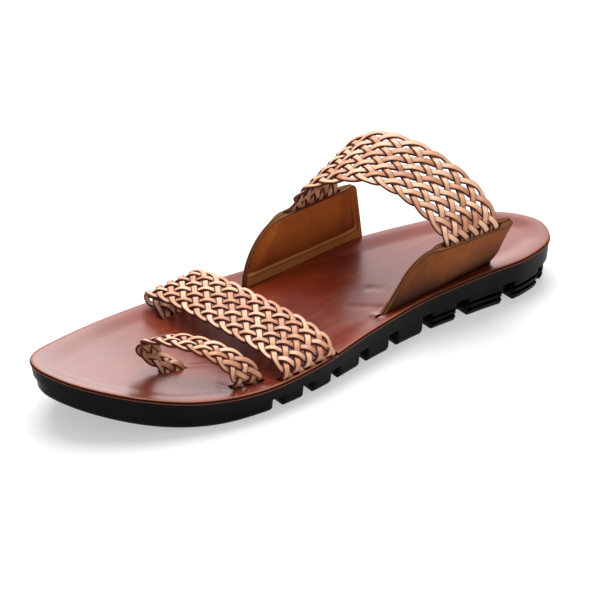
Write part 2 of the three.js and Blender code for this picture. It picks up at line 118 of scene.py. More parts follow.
def grid_faces(index, wrap=False):
    """Quads between neighbouring rows and columns of a grid of point numbers. wrap joins the last column to
    the first."""
    if wrap:
        index = np.concatenate([index, index[:, :1]], axis=1)
    corners = (index[:-1, 1:], index[:-1, :-1], index[1:, :-1], index[1:, 1:])
    return np.stack([c.ravel() for c in corners], axis=1)


def dress(piece, node, finish):
    """The piece stands for a CAD node, rides on the one body and wears a finish."""
    piece.data.materials.clear()
    piece.data.materials.append(finish)
    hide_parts(node)
    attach(piece, "root")
    print(piece.name, len(piece.data.vertices), "points,", len(piece.data.polygons), "faces")


# %% [markdown]
# ## Smooth curves through a few points
# Straps and edges are drawn through a handful of points. A curve of cubics passes through all of them, and
# its stretches are timed by the square root of their length, which keeps it from looping or overshooting.

# %% Curves
def smooth_step(value, low, high):
    """0 below low, 1 above high, and the cubic 3t² - 2t³ between them."""
    t = np.clip((np.asarray(value, float) - low) / (high - low), 0, 1)
    return t * t * (3 - 2 * t)


def unit(vectors):
    """The same directions, each of length one."""
    return vectors / np.linalg.norm(vectors, axis=-1, keepdims=True)


def over_plan(plan, height):
    """Points in space, from places in plan and their heights."""
    return np.concatenate([plan, height[..., None]], axis=-1)


def cubic_between(t, start, leave, end, arrive):
    """The cubic between two values that leaves and arrives with given slopes, t from 0 to 1."""
    t2, t3 = t * t, t * t * t
    from_values = (2 * t3 - 3 * t2 + 1) * start + (3 * t2 - 2 * t3) * end
    return from_values + (t3 - 2 * t2 + t) * leave + (t3 - t2) * arrive


def curve_through(points, closed=False):
    """A function of t from 0 to 1. Each stretch is a cubic whose end slopes come from the four points around
    it, which are spaced by the square root of their distance."""
    points = np.asarray(points, float)
    if closed:
        around = np.concatenate([points[-1:], points, points[:2]])
    else:
        around = np.concatenate([2 * points[:1] - points[1:2], points, 2 * points[-1:] - points[-2:-1]])
    chord = np.diff(around, axis=0)
    gap = np.sqrt(np.linalg.norm(chord, axis=1, keepdims=True))
    slope = chord / gap
    skip = (around[2:] - around[:-2]) / (gap[1:] + gap[:-1])
    leave = (slope[:-2] - skip[:-1] + slope[1:-1]) * gap[1:-1]
    arrive = (slope[1:-1] - skip[1:] + slope[2:]) * gap[1:-1]
    start, end = around[1:-2], around[2:-1]

    def value_at(t):
        place = np.clip(np.asarray(t, float), 0, 1) * len(start)
        k = np.minimum(place.astype(int), len(start) - 1)
        return cubic_between((place - k)[..., None], start[k], leave[k], end[k], arrive[k])

    return value_at


# %% [markdown]
# ## The outline of the sole and the height of the footbed
# The plan has an almond toe, a straighter inner edge and a narrow waist. Seen from the side the heel is
# raised, the ball is low and the toe springs up. Both are short tables, smoothed by the curves above.

# %% Outline and heights
OUTLINE = np.array([
    # x, inner edge, outer edge
    (0, -1, -1),
    (8, 17, -18),
    (28, 26.5, -29),
    (56, 28, -35.5),
    (90, 30.5, -40.5),
    (126, 38, -45),
    (162, 47.5, -49.5),
    (196, 51, -49.5),
    (224, 47, -43.5),
    (249, 37, -31.5),
    (269, 22.5, -18),
    (277, 12, -8.5),
    (280, 2, 2),
])
BED = np.array([
    # x, height of the footbed's edge
    (0, 22),
    (40, 21.5),
    (90, 19.5),
    (130, 17),
    (165, 14.5),
    (195, 13.5),
    (225, 15.5),
    (250, 20.5),
    (270, 26),
    (280, 29.5),
])


def bed_at(x):
    """Height of the footbed's edge: cubics between the rows, with slopes from the rows on either side."""
    places, heights = BED.T
    before = np.concatenate([BED[:1], BED[:-1]])
    after = np.concatenate([BED[1:], BED[-1:]])
    slopes = (after[:, 1] - before[:, 1]) / (after[:, 0] - before[:, 0])
    x = np.clip(np.asarray(x, float), places[0], places[-1])
    k = np.clip(np.searchsorted(places, x, side="right") - 1, 0, len(places) - 2)
    span = places[k + 1] - places[k]
    t = (x - places[k]) / span
    return cubic_between(t, heights[k], slopes[k] * span, heights[k + 1], slopes[k + 1] * span)


def sole_top_at(x):
    """Height of the sole's upper edge, just under the footbed."""
    return bed_at(x) - FOOTBED - FIT


def tread_at(x):
    """Height of the tread: flat on the floor, then a parabola up to the toe."""
    sprung = np.maximum(0, (np.asarray(x, float) - SPRING_START) / (LENGTH - SPRING_START))
    return TOE_SPRING * sprung**2


inner_row = OUTLINE[:, [0, 1]]
outer_row = OUTLINE[1:-1, [0, 2]]
outline = curve_through(np.concatenate([inner_row, outer_row[::-1]]), closed=True)


class Loop:
    """A closed loop round the sole at given places x: the inner side from heel to toe, then the outer side
    back. set_in moves it inwards, square to the outline."""

    SAMPLES = 6001

    def __init__(self, x):
        self.x = np.asarray(x, float)
        self.count = len(self.x)
        inner = self.side(np.linspace(0, 0.5, self.SAMPLES))
        outer = self.side(np.linspace(1, 0.5, self.SAMPLES))
        both = np.concatenate([inner, outer[-2:0:-1]])
        self.edge, self.inward = both[:, :2], both[:, 2:]

    def side(self, turn, step=0.002):
        """Points and inward directions at the places x, looked up along one side of the outline."""
        line = outline(turn % 1)
        along = outline((turn + step) % 1) - outline((turn - step) % 1)
        inward = unit(np.stack([along[:, 1], -along[:, 0]], axis=1))
        key = np.maximum.accumulate(line[:, 0])
        columns = np.concatenate([line, inward], axis=1).T
        return np.stack([np.interp(self.x, key, column) for column in columns], axis=1)

    def set_in(self, inset):
        """The loop in plan, moved inwards by one inset or by one for each point."""
        return self.edge + self.inward * np.asarray(inset, float)[..., None]

    def body(self, rings, across):
        """Points and faces of a solid: belts between the rings, and lines across the first and last ring."""
        levels, around = rings.shape[:2]
        points = [rings.reshape(-1, 3)]
        index = np.arange(levels * around).reshape(levels, around)
        faces = grid_faces(index, wrap=True).tolist()
        share = np.linspace(0, 1, across + 1)[1:-1, None]
        total = levels * around
        for level in (0, levels - 1):
            inner = index[level, 1 : self.count - 1]
            outer = index[level, : self.count - 1 : -1]
            inner_side = rings[level, 1 : self.count - 1, None]
            outer_side = rings[level, : self.count - 1 : -1, None]
            filling = inner_side * (1 - share) + outer_side * share
            numbers = total + np.arange(filling.shape[0] * (across - 1)).reshape(-1, across - 1)
            total += numbers.size
            points.append(filling.reshape(-1, 3))
            sheet = np.concatenate([inner[:, None], numbers, outer[:, None]], axis=1)
            heel, toe = index[level, 0], index[level, self.count - 1]
            start = [(heel, a, b) for a, b in zip(sheet[0, :-1], sheet[0, 1:])]
            end = [(toe, b, a) for a, b in zip(sheet[-1, :-1], sheet[-1, 1:])]
            whole = [tuple(face) for face in grid_faces(sheet)] + start + end
            faces += whole if level == 0 else [tuple(reversed(face)) for face in whole]
        return np.concatenate(points), faces


def rounded_spacing(count):
    """Places from heel to toe, closer together at the two round ends: half a cosine wave."""
    return LENGTH / 2 * (1 - np.cos(np.linspace(0, math.pi, count)))


ball_width = np.ptp(outline(np.linspace(0, 1, 999))[:, 1])
print("width over the ball", round(float(ball_width), 1), "mm")

# %% [markdown]
# ## Shader sums written as sums
# A shader is a graph of nodes, and long sums are hard to read as nodes. The small class below stands for one
# output of a node. Adding or multiplying two of them adds a Math node, so a formula can be written as it is
# spoken. A finish is one material with the few kinds of node that this slipper needs.

# %% Wires and finishes
class Wire:
    """One output socket of a shader node. A sum on wires adds Math nodes to the same tree."""

    def __init__(self, finish, socket):
        self.finish = finish
        self.socket = socket

    def sum(self, operation, first, second):
        return self.finish.node("ShaderNodeMath", {"operation": operation}, {0: first, 1: second})

    def __add__(self, other):
        return self.sum("ADD", self, other)

    def __radd__(self, other):
        return self.sum("ADD", other, self)

    def __sub__(self, other):
        return self.sum("SUBTRACT", self, other)

    def __rsub__(self, other):
        return self.sum("SUBTRACT", other, self)

    def __mul__(self, other):
        return self.sum("MULTIPLY", self, other)

    def __rmul__(self, other):
        return self.sum("MULTIPLY", other, self)


class Finish:
    """A material with one Principled shader. constants are numbers set on the shader's own sockets."""

    def __init__(self, name, constants):
        self.material = bpy.data.materials.new(name)
        self.material.use_nodes = True
        self.tree = self.material.node_tree
        self.shader = self.tree.nodes["Principled BSDF"]
        for socket, value in constants.items():
            self.shader.inputs[socket].default_value = value

    def node(self, kind, settings=None, sockets=None, output=0):
        """Any node: settings first, then a value or a wire for each socket. Gives one output as a wire."""
        made = self.tree.nodes.new(kind)
        for name, value in (settings or {}).items():
            setattr(made, name, value)
        for name, value in (sockets or {}).items():
            if isinstance(value, Wire):
                self.tree.links.new(value.socket, made.inputs[name])
            else:
                made.inputs[name].default_value = value
        return Wire(self, made.outputs[output])

    def place(self):
        """The point's own place on the object, in metres."""
        return self.node("ShaderNodeTexCoord", output="Object")

    def number(self, name):
        """An attribute that the mesh carries."""
        return self.node("ShaderNodeAttribute", {"attribute_name": name}, output="Fac")

    def noise(self, vector, scale, detail=3, roughness=0.5):
        """Clouds from 0 to 1, with scale of them to a metre."""
        values = {"Vector": vector, "Scale": scale, "Detail": detail, "Roughness": roughness}
        return self.node("ShaderNodeTexNoise", sockets=values)

    def mask(self, value, low, high):
        """0 below low, 1 above high, smooth between."""
        limits = {"Value": value, "From Min": low, "From Max": high}
        return self.node("ShaderNodeMapRange", {"interpolation_type": "SMOOTHSTEP"}, limits)

    def line(self, value, start, full, fading, end):
        """1 between full and fading, and 0 outside start and end."""
        return self.mask(value, start, full) - self.mask(value, fading, end)

    def mix(self, share, first, second):
        """A colour that goes from the first to the second."""
        return self.node("ShaderNodeMix", {"data_type": "RGBA"}, {0: share, 6: first, 7: second}, output=2)

    def bump(self, height, depth, strength=1.0, under=None):
        """Normals of a relief: height 1 stands depth metres above height 0."""
        sockets = {"Height": height, "Distance": depth, "Strength": strength}
        if under is not None:
            sockets["Normal"] = under
        return self.node("ShaderNodeBump", sockets=sockets)

    def feed(self, **wires):
        """The wires go to the shader's sockets of the same name. Gives the finished material."""
        for name, wire in wires.items():
            self.tree.links.new(wire.socket, self.shader.inputs[name.replace("_", " ")])
        return self.material


def shade(code):
    """A colour in linear light, from the six-digit code that a paint chart gives."""
    parts = np.array([int(code[k : k + 2], 16) for k in (0, 2, 4)]) / 255
    linear = np.where(parts <= 0.04045, parts / 12.92, ((parts + 0.055) / 1.055) ** 2.4)
    return (*linear.tolist(), 1.0)


# %% [markdown]
# ## The rubber of the sole
# Moulded rubber is almost black with a satin skin. Its colour hardly changes, but the skin has a fine grain
# from the mould and cloudy patches that are a little duller, so noise drives the roughness more than the
# colour.

# %% Sole finish
def sole_rubber():
    finish = Finish("sole_rubber", {"IOR": 1.5, "Specular IOR Level": 0.07})
    black, dull_black = shade("060406"), shade("0d0a0d")
    place = finish.place()
    clouds = finish.noise(place, scale=28, detail=4)
    grain = finish.noise(place, scale=1400, detail=2)
    colour = finish.mix(finish.mask(clouds, 0.35, 0.7), black, dull_black)
    relief = finish.bump(grain, depth=0.00008, strength=0.5)
    return finish.feed(Base_Color=colour, Roughness=0.32 + 0.18 * clouds, Normal=relief)


# %% [markdown]
# ## The moulded sole
# The sole is one block of rubber. Its wall steps in half way down, and from the ball back to the heel the
# lower half is cut into blocks by channels, the heel's blocks with ribs. Booleans would do it, but the wall
# is a clean grid: round the loop and up the wall. The inset of each grid point says whether it lies in a
# channel or a rib's groove.

# %% Sole sizes
WALL = np.array([
    # share of the wall's height, inset from the edge
    (0, 4.2),
    (0.1, 3.2),
    (0.52, 2.6),
    (0.56, 1.3),
    (1, 0.6),
])
CHANNELS = np.array([
    # place along the foot, width
    (184, 6),
    (166, 6),
    (148.5, 5),
    (129, 5),
    (109, 5.5),
    (87, 5.5),
    (66, 7),
    (38.5, 7),
    (12, 7),
])
CHANNEL_DEPTH = 7.0
CHANNEL_TOP = 0.54
GROOVE_DEPTH = 3.0
FIRST_RIBBED_CHANNEL = 5
RIB_DEPTH = 4.6
RIB_GROOVES = np.array([(0.14, 0.2), (0.3, 0.36)])
PLAIN_LINES = 261
CLEAR_OF_CORNER = 1.2
LINES_AT_CORNER = (-0.9, -0.25, 0.25, 0.9)
CORNER_REACH = 0.5
CORNER_INSET = 0.35
LEVELS = np.array([
    0, 0.025, 0.1, 0.13, 0.15, 0.19, 0.21, 0.29, 0.31, 0.35, 0.37, 0.45,
    0.515, 0.532, 0.548, 0.565, 0.6, 0.7, 0.85, 0.95, 1,
])


# %% Sole surface
def sole_places():
    """Places along the foot: a plain spacing, with two pairs of lines at each side of a channel."""
    plain = rounded_spacing(PLAIN_LINES)
    edges = (CHANNELS[:, :1] + CHANNELS[:, 1:] * (-0.5, 0.5)).ravel()
    clear = np.abs(plain[:, None] - edges).min(axis=1) > CLEAR_OF_CORNER
    pairs = edges[:, None] + LINES_AT_CORNER
    return np.unique(np.concatenate([plain[clear], pairs.ravel()]))


def sole_rings(loop):
    """Rings from tread to rim, and one for the seat of the footbed. A point's inset is the wall's own, or
    the groove's in a rib, or the channel's depth below the ledge. Its height is a share of the way from the
    tread to the rim. All channels but the last are lifted off the ground, to run on below as grooves."""
    x = np.concatenate([loop.x, loop.x[-2:0:-1]])
    share = LEVELS[:, None]
    reach = np.abs(x[:, None] - CHANNELS[:, 0]) - CHANNELS[:, 1] / 2
    in_channel = (reach < 0).any(axis=1)
    grooved = (reach[:, :-1] < 0).any(axis=1)
    corner = (np.abs(reach) < CORNER_REACH).any(axis=1) & ~in_channel
    ribbed = (x < CHANNELS[FIRST_RIBBED_CHANNEL, 0]) & ~in_channel
    in_rib = ((share > RIB_GROOVES[:, 0]) & (share < RIB_GROOVES[:, 1])).any(axis=1)[:, None]
    below = share < CHANNEL_TOP

    inset = np.interp(share, *WALL.T) + CORNER_INSET * (corner & below)
    inset = np.where(in_rib & ribbed, RIB_DEPTH, inset)
    inset = np.where(in_channel & below, CHANNEL_DEPTH, inset)
    plan = loop.set_in(inset)
    low, high = tread_at(plan[..., 0]), sole_top_at(plan[..., 0])
    height = low + share * (high - low)
    ledge = low + CHANNEL_TOP * (high - low)
    lifted = GROOVE_DEPTH + height * (ledge - GROOVE_DEPTH) / ledge
    height = np.where(grooved & below, lifted, height)

    seat = loop.set_in(np.full(len(x), DISH_INSET))
    seat_height = sole_top_at(seat[:, 0]) - DISH
    return np.concatenate([over_plan(plan, height), over_plan(seat, seat_height)[None]])


sole_loop = Loop(sole_places())
points, faces = sole_loop.body(sole_rings(sole_loop), across=12)
dress(mesh_piece("moulded_sole", points, faces), "outsole", sole_rubber())

# %% [markdown]
# ## Straps as bands
# Each strap is a band between a front and a rear edge, two curves through the same number of points.
# A place on it is s along the band and w across it, and the braid is later drawn in those two numbers alone.

# %% Bands
class Band:
    """s runs along the middle by length, w from the front edge to the rear. turn, 1 or -1, makes the normals
    point away from the foot."""

    KNOTS = 401

    def __init__(self, front, rear, turn):
        front, rear = np.asarray(front, float), np.asarray(rear, float)
        self.front, self.rear, self.turn = curve_through(front), curve_through(rear), turn
        self.knots = np.linspace(0, 1, self.KNOTS)
        middle = curve_through((front + rear) / 2)(self.knots)
        steps = np.linalg.norm(np.diff(middle, axis=0), axis=1)
        self.travel = np.concatenate([[0], np.cumsum(steps)])
        self.length = self.travel[-1]

    def surface(self, s, w):
        """The straight line from front edge to rear edge, at a share w of the way."""
        t = np.interp(np.clip(s, 0, 1) * self.length, self.travel, self.knots)
        w = np.asarray(w, float)[..., None]
        return self.front(t) * (1 - w) + self.rear(t) * w

    def normal(self, s, w, step=0.004):
        """Square to the band: the cross product of the steps along it and across it."""
        along = self.surface(s + step, w) - self.surface(s - step, w)
        across = self.surface(s, w + step) - self.surface(s, w - step)
        return self.turn * unit(np.cross(along, across))

    def point(self, s, w, height):
        """A place on the band, raised along its normal."""
        return self.surface(s, w) + self.normal(s, w) * np.asarray(height, float)[..., None]


def at(x, y, rise):
    """A point over the footbed, by how far it rises above the footbed's edge."""
    return np.stack(np.broadcast_arrays(x, y, bed_at(x) + rise), axis=-1)


def straight_band(start, towards, width, folds, turn):
    """A band that runs straight in plan. Each fold gives the way along it and the rise of its front and rear
    edge."""
    start = np.array(start, float)
    direction = unit(np.array(towards, float) - start)
    ahead = np.array([-direction[1], direction[0]]) * width / 2
    along, front_rise, rear_rise = np.array(folds, float).T
    path = start + along[:, None] * direction
    front, rear = (path + ahead).T, (path - ahead).T
    return Band(at(*front, front_rise), at(*rear, rear_rise), turn)


def turned_band(folds, turn):
    """A band whose width turns. Each fold gives its middle x and y, the bearing of its width in degrees from
    x towards y, its width, and the rise of its front and rear edge."""
    x, y, bearing, width, front_rise, rear_rise = np.array(folds, float).T
    angle = np.radians(bearing)
    ahead = np.stack([np.cos(angle), np.sin(angle)]) * width / 2
    front, rear = (x, y) + ahead, (x, y) - ahead
    return Band(at(*front, front_rise), at(*rear, rear_rise), turn)


# %% The two straps that pass through the footbed
SLIT_END = -1.3
DISHED_END = SLIT_END - DISH
BORDER_END = SLIT_END - DISH / 2
forefoot_band = straight_band((167, 44.5), (179, -50), width=33, turn=-1, folds=[
    # along, front rise, rear rise
    (0, SLIT_END, SLIT_END),
    (-0.6, 2.5, 2.8),
    (3, 5.5, 6),
    (12, 7.8, 8.5),
    (32, 8.8, 9.8),
    (56, 8.8, 9.8),
    (78, 8.2, 9.2),
    (90, 6.8, 7.6),
    (94.5, 4.6, 5),
    (91.5, 2.4, 2.4),
    (85, 1.6, 1.6),
    (81, DISHED_END, DISHED_END),
])
toe_band = turned_band(turn=-1, folds=[
    # x, y, bearing, width, front rise, rear rise
    (196, 39.5, -8, 16, BORDER_END, BORDER_END),
    (197, 41.5, -8, 16, 2.5, 2.5),
    (198.5, 41.3, -5, 16, 6.5, 6.5),
    (203, 37, 2, 15.6, 11.5, 11.5),
    (209, 29, 10, 15.6, 15, 15),
    (216, 20.4, 14, 15.6, 16.3, 16.3),
    (221.6, 12.8, 14, 15, 15.6, 14.8),
    (225.6, 7, 12, 14.5, 12.4, 10.8),
    (225.2, 6.4, 8, 14, 7.8, 6.2),
    (221.5, 8.8, 3, 13.5, 3.8, 2.8),
    (218, 11.5, 0, 13, 1.2, 1.2),
    (216.5, 12.8, 0, 13, DISHED_END, DISHED_END),
])
print("forefoot strap", round(forefoot_band.length), "mm, toe loop", round(toe_band.length), "mm")

# %% [markdown]
# ## The tabs that hold the instep strap
# On each side two layers of leather stand up out of a slit in the footbed and hold the strap's end between
# them. A tab is a four-cornered sheet, so its middle is a bilinear patch: u from front to rear, v from base
# to top.

# %% Tab patches
TAB = 1.2
STRAND = 1.2
LAYER_AT_BASE = TAB / 2 + FIT / 2
LAYER_AT_STRAP = TAB / 2 + STRAND + 2 * FIT
STRAP_START = 0.4
STRAP_END = 0.45
PINCH_START = 0.14
PINCH_END = 0.04


class Tab:
    """corners are front base, rear base, front top and rear top. outwards is 1 on the inner side of the foot
    and -1 on the outer. front_corner and rear_corner give how far the top corners are rounded, along and
    down, as shares of the tab. held gives where the strap lies: u of its front and rear edge at its end, and
    at the tab's top."""

    def __init__(self, corners, outwards, front_corner, rear_corner, held):
        self.corners = [at(*corner) for corner in corners]
        self.outwards = outwards
        self.front_corner, self.rear_corner = front_corner, rear_corner
        self.held_low, self.held_top = held

    def span(self, t, v):
        """u at a share t of the way from the front edge to the rear edge. Each top corner is a quarter of an
        ellipse."""
        ends = []
        for along, down in (self.front_corner, self.rear_corner):
            into = np.clip((np.asarray(v, float) - (1 - down)) / down, 0, 1)
            ends.append(along * (1 - np.sqrt(1 - into**2)))
        return ends[0] + t * (1 - ends[0] - ends[1])

    def point(self, u, v):
        """Straight lines from the base edge to the top edge."""
        u, v = np.asarray(u, float)[..., None], np.asarray(v, float)[..., None]
        front_base, rear_base, front_top, rear_top = self.corners
        base = front_base * (1 - u) + rear_base * u
        return base * (1 - v) + (front_top * (1 - u) + rear_top * u) * v

    def normal(self, u, v, step=0.01):
        """Square to the patch: the cross product of the steps along it and up it."""
        along = self.point(u + step, v) - self.point(u - step, v)
        up = self.point(u, v + step) - self.point(u, v - step)
        return unit(np.cross(along, up))

    def layer(self, u, v):
        """Distance of a layer from the tab's middle: close at the base and the two ends, and apart round the
        strap, with smooth steps between."""
        past = self.past_strap(u, v)
        apart = smooth_step(v, 0, STRAP_START) * (1 - smooth_step(past, PINCH_END, PINCH_START))
        return LAYER_AT_BASE + (LAYER_AT_STRAP - LAYER_AT_BASE) * apart

    def past_strap(self, u, v):
        """How far a place lies past the nearer edge of the strap, along u. It is negative on the strap."""
        share = (np.asarray(v, float) - STRAP_END) / (1 - STRAP_END)
        front, rear = (low + share * (top - low) for low, top in zip(self.held_low, self.held_top))
        return np.maximum(front - u, u - rear)


inner_tab = Tab(
    [(115, 28.8, SLIT_END), (47, 18, SLIT_END), (95, 27.5, 21.5), (40, 29, 24.3)],
    outwards=1,
    front_corner=(0.16, 0.35),
    rear_corner=(0.05, 0.15),
    held=[(0.44, 0.9), (0.29, 0.83)],
)
outer_tab = Tab(
    [(148, -34.5, SLIT_END), (77, -40.5, SLIT_END), (146, -37.6, 26), (79.5, -42.5, 26.5)],
    outwards=-1,
    front_corner=(0.39, 1),
    rear_corner=(0.04, 0.1),
    held=[(0.21, 0.81), (0.39, 0.84)],
)

# %% The instep band runs from one tab to the other
INSTEP_FRONT = [
    outer_tab.point(outer_tab.held_low[0], STRAP_END),
    outer_tab.point(0.3, 0.75),
    outer_tab.point(0.4, 1),
    at(115.5, -34.5, 36),
    at(107.5, -20, 44),
    at(99, -5.5, 47),
    at(91, 7.5, 42.5),
    at(84.5, 19, 34),
    at(79.3, 27.7, 22.7),
    inner_tab.point(0.37, 0.75),
    inner_tab.point(inner_tab.held_low[0], STRAP_END),
]
INSTEP_REAR = [
    outer_tab.point(outer_tab.held_low[1], STRAP_END),
    outer_tab.point(0.82, 0.75),
    outer_tab.point(0.85, 1.1),
    at(86, -40.5, 47),
    at(77.5, -26, 59),
    at(67.5, -9.5, 57),
    at(58, 4.5, 49),
    at(51, 18, 38.5),
    at(49.3, 29.1, 25.7),
    inner_tab.point(0.86, 0.75),
    inner_tab.point(inner_tab.held_low[1], STRAP_END),
]
instep_band = Band(INSTEP_FRONT, INSTEP_REAR, turn=1)
print("instep strap", round(instep_band.length), "mm")

# %% [markdown]
# ## The leather of the footbed
# The footbed is a smooth reddish-brown cover with a gloss that mirrors what stands round it: dark where it
# meets a tab, pale where it meets the light. Its edge is a brown rim, then a dark edge and groove, whose
# near-black is partly the cover's own dark edge and partly painted shade, then a thin brown lip. The mesh
# carries two attributes for that, the distance in from the outline and the drop below the top edge, and the
# finish changes over a short stretch of each.

# %% Footbed finish
RIM_END = (1.3, 1.9)
GROOVE_START = (0.06, 0.2)
LIP_START = (1.1, 1.16)


def footbed_leather():
    finish = Finish("footbed_leather", {
        "IOR": 1.5,
        "Specular IOR Level": 0.7,
        "Specular Tint": shade("ffb4b0"),
        "Coat Roughness": 0.25,
    })
    red_brown, warm_brown, worn_brown = shade("521404"), shade("72260a"), shade("8f4a2c")
    rim_brown, dark_edge_and_groove_shade, lip_brown = shade("8c4a26"), shade("120505"), shade("6c3a20")
    place = finish.place()
    inset, drop = finish.number("inset"), finish.number("drop")
    along = finish.node("ShaderNodeMapping", sockets={"Vector": place, "Scale": (0.25, 1, 1)})
    clouds = finish.noise(place, scale=22, detail=5, roughness=0.55)
    streaks = finish.noise(along, scale=190, detail=4, roughness=0.6)
    grain = finish.noise(place, scale=900, detail=4, roughness=0.6)
    field = finish.mix(finish.mask(clouds, 0.3, 0.72), red_brown, warm_brown)
    field = finish.mix(0.22 * finish.mask(streaks, 0.48, 0.72), field, worn_brown)
    rim = 1 - finish.mask(inset, *RIM_END)
    groove = rim * finish.mask(drop, *GROOVE_START)
    lip = rim * finish.mask(drop, *LIP_START)
    colour = finish.mix(rim, field, rim_brown)
    # painted shade in the groove, over the cover's own dark edge
    colour = finish.mix(groove, colour, dark_edge_and_groove_shade)
    colour = finish.mix(lip, colour, lip_brown)
    relief = finish.bump(streaks, depth=0.00012, strength=0.3)
    relief = finish.bump(grain, depth=0.00005, strength=0.3, under=relief)
    rough = 0.25 + 0.1 * clouds + 0.25 * rim
    coat = 0.12 - 0.12 * rim
    return finish.feed(Base_Color=colour, Roughness=rough, Coat_Weight=coat, Normal=relief)


# %% [markdown]
# ## The footbed
# The cover is a thin sheet on the sole: a lip, a groove and a rounded rim at its edge, then a shallow dish.
# It is drawn as rings that step round the edge and inwards. The slits for straps and tabs are then cut by a
# Boolean whose cutters are drawn from the straps and tabs themselves, a little larger, so each slit fits
# what passes through it.

# %% Footbed surface
FLAT_RIM = 3.0
FOOTBED_SECTION = np.array([
    # inset, drop below the edge's height
    (DISH_INSET, FOOTBED + DISH),
    (0.3, FOOTBED),
    (0.13, 1.5),
    (0.1, 1.32),
    (0.22, 1.2),
    (0.9, 1.13),
    (1.1, 1.02),
    (1.1, 0.75),
    (0.75, 0.62),
    (0.45, 0.52),
    (0.4, 0.4),
    (0.5, 0.2),
    (0.75, 0.06),
    (1.1, 0),
    (2, 0),
    (FLAT_RIM, 0),
])
DISH_RINGS = np.linspace(FLAT_RIM + 1, DISH_INSET, 9)
FOOTBED_LINES = 281
OUTLINE_SAMPLES = 1200
BLOCK = 3000


def footbed_rings(loop):
    """Rings from the middle of the underside out to the lip, over the rim and in across the top. The dish is
    a smooth step from the rim inwards."""
    dish = DISH * smooth_step(DISH_RINGS, FLAT_RIM, DISH_INSET)
    inset, drop = np.concatenate([FOOTBED_SECTION, np.stack([DISH_RINGS, dish], axis=1)]).T
    plan = loop.set_in(np.repeat(inset[:, None], len(loop.edge), axis=1))
    height = bed_at(plan[..., 0]) - drop[:, None]
    return over_plan(plan, height)


CREASES = np.array([
    # x and y of the start, x and y of the end, half width, rise
    (117.5, 32, 117, 26.5, 1.8, 0.45),
    (115.5, 25.5, 110.5, 22, 2.0, -0.35),
    (110.5, 3, 104, 4, 2.4, -0.13),
    (104, 4, 101, 7.5, 2.4, -0.13),
    (121, 12, 114, 18.5, 2.2, -0.15),
    (208, 13, 199, 16.5, 1.8, 0.35),
    (192, 46, 199, 45, 1.8, 0.4),
    (205.5, 40, 206.5, 34, 2.0, -0.4),
    (186, 46, 185, 36, 2.2, -0.3),
    (150, -31, 150.5, -38, 2.0, 0.4),
])


def crease_height(x, y):
    """Soft troughs and ridges beside the slits: each a bell curve of the distance from a short line."""
    place = np.stack([x, y], axis=-1)[..., None, :]
    start, end = CREASES[:, :2], CREASES[:, 2:4]
    half, rise = CREASES[:, 4:].T
    run = end - start
    share = ((place - start) * run).sum(axis=-1) / (run**2).sum(axis=-1)
    nearest = start + np.clip(share, 0, 1)[..., None] * run
    apart = np.linalg.norm(place - nearest, axis=-1)
    return (rise * np.exp(-((apart / half) ** 2))).sum(axis=-1)


def from_edge(points):
    """Distance of each point from the sole's outline, seen from above, worked out in blocks to save
    memory."""
    line = outline(np.linspace(0, 1, OUTLINE_SAMPLES, endpoint=False)).astype(np.float32)
    plan = points[:, :2].astype(np.float32)
    blocks = np.array_split(plan, max(1, len(plan) // BLOCK))
    near = [np.sqrt(((block[:, None] - line) ** 2).sum(axis=2).min(axis=1)) for block in blocks]
    return np.concatenate(near)


# %% Slits
STRAP_SLIT_SECTIONS = 7
TAB_SLIT_SECTIONS = 27
SLIT_ROOM = 0.5
# shares of the strap's width and length
SLIT_PAST_EDGE = 0.02
SLIT_REACH = 0.1
# shares of the tab's length, height and thickness
SLIT_BEHIND = 0.01
SLIT_BELOW = 0.1
SLIT_TIP = 0.45


def tube_faces(index):
    """Quads round closed sections that are joined end to end, and a face over either end."""
    return grid_faces(index, wrap=True).tolist() + [tuple(index[0]), tuple(index[-1][::-1])]


def tube(sections):
    """Points and faces of a tube. sections is an array of section, corner and x y z."""
    count, corners = sections.shape[:2]
    return sections.reshape(-1, 3), tube_faces(np.arange(count * corners).reshape(count, corners))


def strap_cutter(band, end):
    """The space that a strap's end takes, with clearance all round, drawn on down through the footbed."""
    half = STRAND + SLIT_ROOM
    s = np.abs(end - np.linspace(0, SLIT_REACH, STRAP_SLIT_SECTIONS))[:, None]
    front, rear = -SLIT_PAST_EDGE, 1 + SLIT_PAST_EDGE
    w = np.array([front, rear, rear, front])
    sections = band.point(s + 0 * w, w + 0 * s, np.array([-half, -half, half, half]) + 0 * s)
    through = sections[:1] - (0, 0, FOOTBED)
    return tube(np.concatenate([through, sections]))


def tab_cutter(tab, ahead):
    """The same for the two layers of a tab. The slit runs on ahead of the tab by a share of its length and
    narrows."""
    t = np.linspace(-ahead, 1 + SLIT_BEHIND, TAB_SLIT_SECTIONS)[:, None]
    v = np.array([-SLIT_BELOW, STRAP_START, STRAP_START, -SLIT_BELOW]) + 0 * t
    u = tab.span(t, v)
    narrowed = np.interp(t, (-ahead, 0), (SLIT_TIP, 1))
    half = (tab.layer(u, v) + TAB / 2 + FIT) * narrowed * np.array([-1, -1, 1, 1])
    return tube(tab.point(u, v) + tab.normal(u, v) * half[..., None])


def cut(piece, cutters):
    """Boolean cuts, worked out once and kept in the mesh."""
    for k, (points, faces) in enumerate(cutters):
        tool = mesh_piece(f"cutter_{k}", points, faces)
        change = piece.modifiers.new(tool.name, "BOOLEAN")
        change.operation, change.solver, change.object = "DIFFERENCE", "EXACT", tool
    state = bpy.context.evaluated_depsgraph_get()
    done = bpy.data.meshes.new_from_object(piece.evaluated_get(state))
    tools = [change.object for change in piece.modifiers]
    piece.modifiers.clear()
    piece.data = done
    for tool in tools:
        bpy.data.objects.remove(tool)


